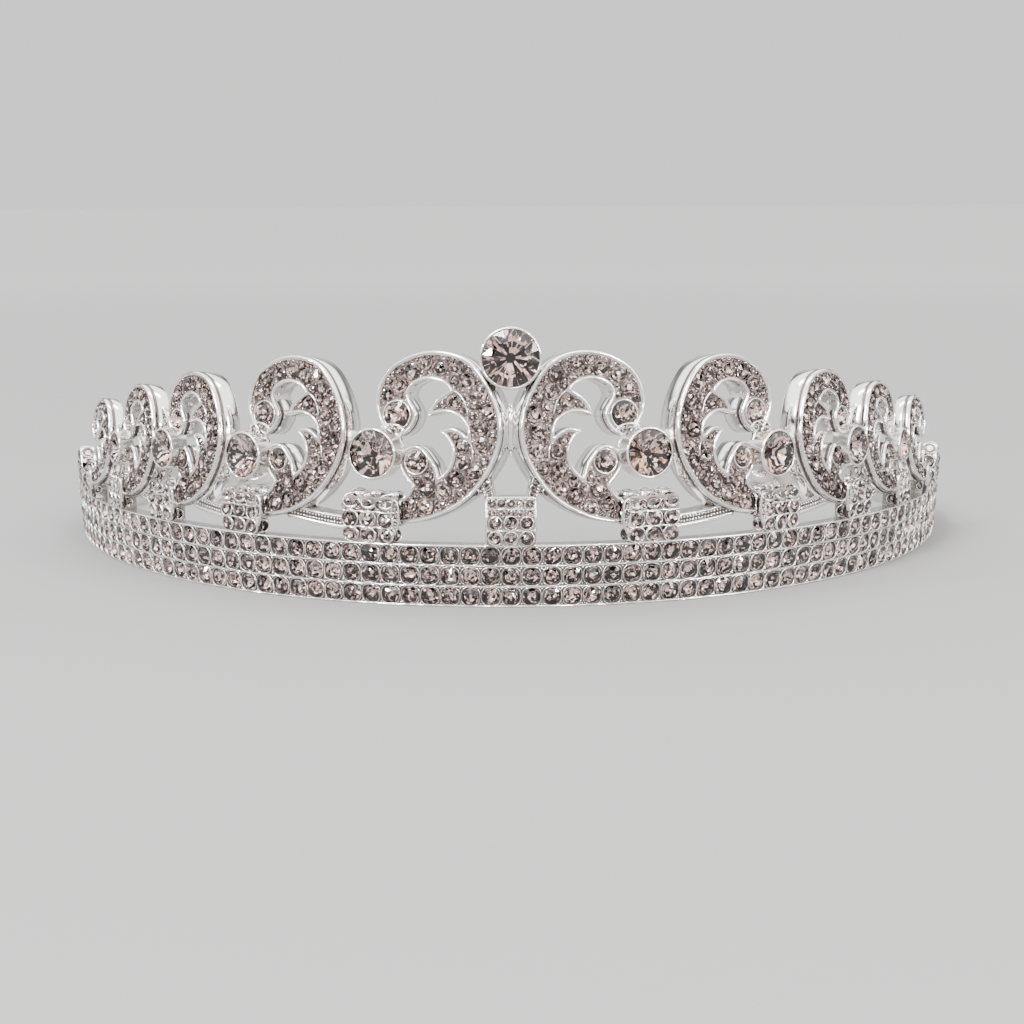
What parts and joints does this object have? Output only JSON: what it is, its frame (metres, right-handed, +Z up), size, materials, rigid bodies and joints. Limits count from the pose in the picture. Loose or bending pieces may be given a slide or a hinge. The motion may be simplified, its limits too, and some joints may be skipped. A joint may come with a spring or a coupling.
{
  "type": "rhinestone tiara",
  "caption": "Open silver-coloured tiara: leaning three-row stone-set band, pierced scrolls that shrink outwards, round cut stones between them and one on top.",
  "frame": {"origin": "under the middle of the tiara's bounding box, on the surface that it stands on", "axes": "+Z up, the front with the scrolls faces -Y, the wearer's left is +X"},
  "size_m": [0.1498, 0.1092, 0.0393],
  "materials": {
    "metal": "bright silver-coloured plating on cast alloy",
    "stones": "clear cut glass",
    "small_stones": "clear cut glass"
  },
  "bodies": {
    "root": {"frame": "metal", "band_stones": "small_stones", "centre_stone": "stones", "link_stone_1_right": "stones", "link_stone_1_left": "stones", "link_stone_2_right": "stones", "link_stone_2_left": "stones", "link_stone_3_right": "stones", "link_stone_3_left": "stones", "link_stone_4_right": "stones", "link_stone_4_left": "stones", "upper_stone_1_right": "stones", "upper_stone_1_left": "stones", "lower_stone_1_right": "stones", "lower_stone_1_left": "stones", "upper_stone_2_right": "stones", "upper_stone_2_left": "stones", "lower_stone_2_right": "stones", "lower_stone_2_left": "stones", "upper_stone_3_right": "stones", "upper_stone_3_left": "stones", "lower_stone_3_right": "stones", "lower_stone_3_left": "stones", "upper_stone_4_right": "stones", "upper_stone_4_left": "stones", "lower_stone_4_right": "stones", "lower_stone_4_left": "stones", "upper_stone_5_right": "stones", "upper_stone_5_left": "stones", "lower_stone_5_right": "stones", "lower_stone_5_left": "stones"}
  },
  "joints": []
}
